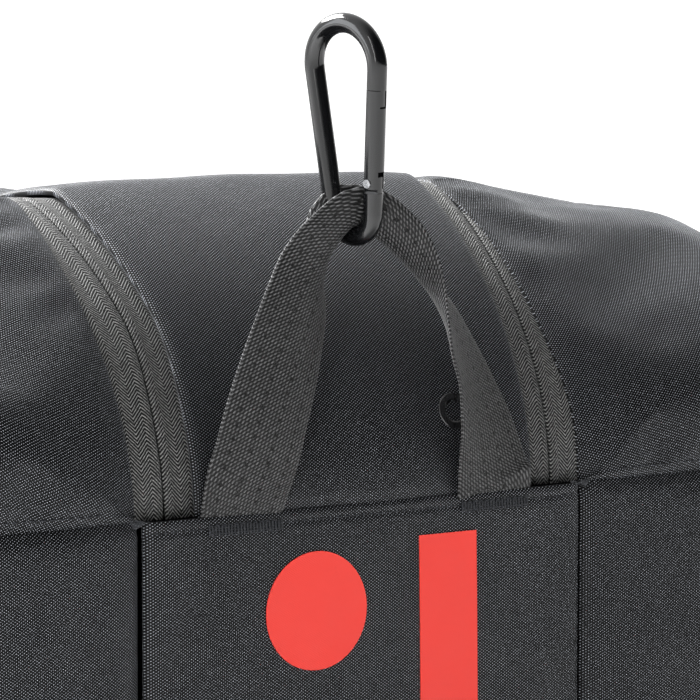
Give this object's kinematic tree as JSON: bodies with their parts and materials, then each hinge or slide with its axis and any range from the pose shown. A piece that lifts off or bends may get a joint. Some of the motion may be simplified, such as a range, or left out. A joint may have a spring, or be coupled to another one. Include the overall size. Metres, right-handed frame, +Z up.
{
  "type": "hockey equipment bag",
  "caption": "Long soft equipment bag with side-by-side compartments under zipped top flaps, carry handles, and a webbing hang loop with a spring-gate carabiner.",
  "frame": {"origin": "centre of the middle base runner's underside, on the floor plane, under the middle of the bag", "axes": "+Z up, Y along the bag with the hang-loop end at -Y, X across the bag with +X on the right seen from the front end"},
  "size_m": [0.487, 1.0692, 0.4986],
  "materials": {
    "shell_fabric": "coated ballistic plain weave",
    "runner_plastic": "matte",
    "board_plastic": "matte sheet",
    "foam": "closed-cell foam",
    "lining": "plain lining",
    "bare_steel": "satin",
    "zip_tape": "herringbone tape with coil",
    "black_metal": "black enamel",
    "anodised": "black anodised, glossy",
    "print_red": "satin screen print",
    "webbing": "twill webbing",
    "grip_fabric": "padded wrap"
  },
  "bodies": {
    "shell": {"base_panel": "shell_fabric", "base_runners": "runner_plastic", "runner_screws": "bare_steel", "base_board": "board_plastic", "base_foam": "foam", "front_end_panel": "shell_fabric", "rear_end_panel": "shell_fabric", "left_side_panel": "shell_fabric", "right_side_panel": "shell_fabric", "front_stiffener": "foam", "rear_stiffener": "foam", "centre_divider": "lining", "centre_top_panel": "shell_fabric", "left_front_shoulder": "shell_fabric", "left_rear_shoulder": "shell_fabric", "right_front_shoulder": "shell_fabric", "right_rear_shoulder": "shell_fabric", "left_inner_zip_half": "zip_tape", "right_inner_zip_half": "zip_tape", "left_outer_zip_ends": "zip_tape", "right_outer_zip_ends": "zip_tape", "vent_eyelet": "black_metal", "vent_washer": "bare_steel", "vent_mesh": "lining", "front_mark": "print_red", "hang_loop_bartacks": "webbing", "left_handle_anchors": "webbing", "right_handle_anchors": "webbing", "rear_handle_anchors": "webbing"},
    "left_flap_body": {"left_flap": "shell_fabric", "left_flap_zip_half": "zip_tape"},
    "right_flap_body": {"right_flap": "shell_fabric", "right_flap_zip_half": "zip_tape"},
    "left_slider_body": {"left_zip_slider": "black_metal"},
    "right_slider_body": {"right_zip_slider": "black_metal"},
    "left_pull_body": {"left_zip_pull": "black_metal"},
    "right_pull_body": {"right_zip_pull": "black_metal"},
    "loop_body": {"hang_loop": "webbing"},
    "carabiner": {"carabiner_body": "anodised"},
    "gate": {"carabiner_gate": "anodised", "carabiner_rivets": "bare_steel", "gate_spring": "bare_steel"},
    "left_handle_body": {"left_handle": "webbing", "left_handle_grip": "grip_fabric"},
    "right_handle_body": {"right_handle": "webbing", "right_handle_grip": "grip_fabric"},
    "rear_handle_body": {"rear_handle": "webbing", "rear_handle_grip": "grip_fabric"}
  },
  "joints": [
    {"name": "left_flap_hinge", "type": "hinge", "parent": "shell", "child": "left_flap_body", "pos_m": [-0.235, 0, 0.3183], "axis": [0, -1, 0], "range_deg": [0, 55]},
    {"name": "left_zip_slide", "type": "slide", "parent": "shell", "child": "left_slider_body", "axis": [0, -1, 0], "range_m": [0, 0.542]},
    {"name": "left_pull_hinge", "type": "hinge", "parent": "left_slider_body", "child": "left_pull_body", "pos_m": [-0.101, 0.274, 0.4099], "axis": [1, 0, 0], "range_deg": [0, 165]},
    {"name": "left_handle_hinge", "type": "hinge", "parent": "shell", "child": "left_handle_body", "pos_m": [-0.239, 0, 0.296], "axis": [0, -1, 0], "range_deg": [-165, 0]},
    {"name": "right_flap_hinge", "type": "hinge", "parent": "shell", "child": "right_flap_body", "pos_m": [0.235, 0, 0.3183], "axis": [0, 1, 0], "range_deg": [0, 55]},
    {"name": "right_zip_slide", "type": "slide", "parent": "shell", "child": "right_slider_body", "axis": [0, -1, 0], "range_m": [0, 0.542]},
    {"name": "right_pull_hinge", "type": "hinge", "parent": "right_slider_body", "child": "right_pull_body", "pos_m": [0.101, 0.274, 0.4099], "axis": [1, 0, 0], "range_deg": [0, 165]},
    {"name": "right_handle_hinge", "type": "hinge", "parent": "shell", "child": "right_handle_body", "pos_m": [0.239, 0, 0.296], "axis": [0, 1, 0], "range_deg": [-165, 0]},
    {"name": "rear_handle_hinge", "type": "hinge", "parent": "shell", "child": "rear_handle_body", "pos_m": [0, 0.524, 0.268], "axis": [-1, 0, 0], "range_deg": [-110, 0]},
    {"name": "hang_loop_hinge", "type": "hinge", "parent": "shell", "child": "loop_body", "pos_m": [0, -0.5209, 0.3189], "axis": [1, 0, 0], "range_deg": [-8, 150]},
    {"name": "carabiner_swing", "type": "hinge", "parent": "loop_body", "child": "carabiner", "pos_m": [-0.009, -0.5209, 0.417], "axis": [0.2419, -0.9703, 0], "range_deg": [-80, 80]},
    {"name": "gate_hinge", "type": "hinge", "parent": "carabiner", "child": "gate", "pos_m": [-0.00791, -0.53177, 0.43702], "axis": [-0.9673, -0.2412, -0.0785], "range_deg": [0, 24], "stiffness_Nm_per_rad": 0.05, "springref_deg": -17.19}
  ]
}
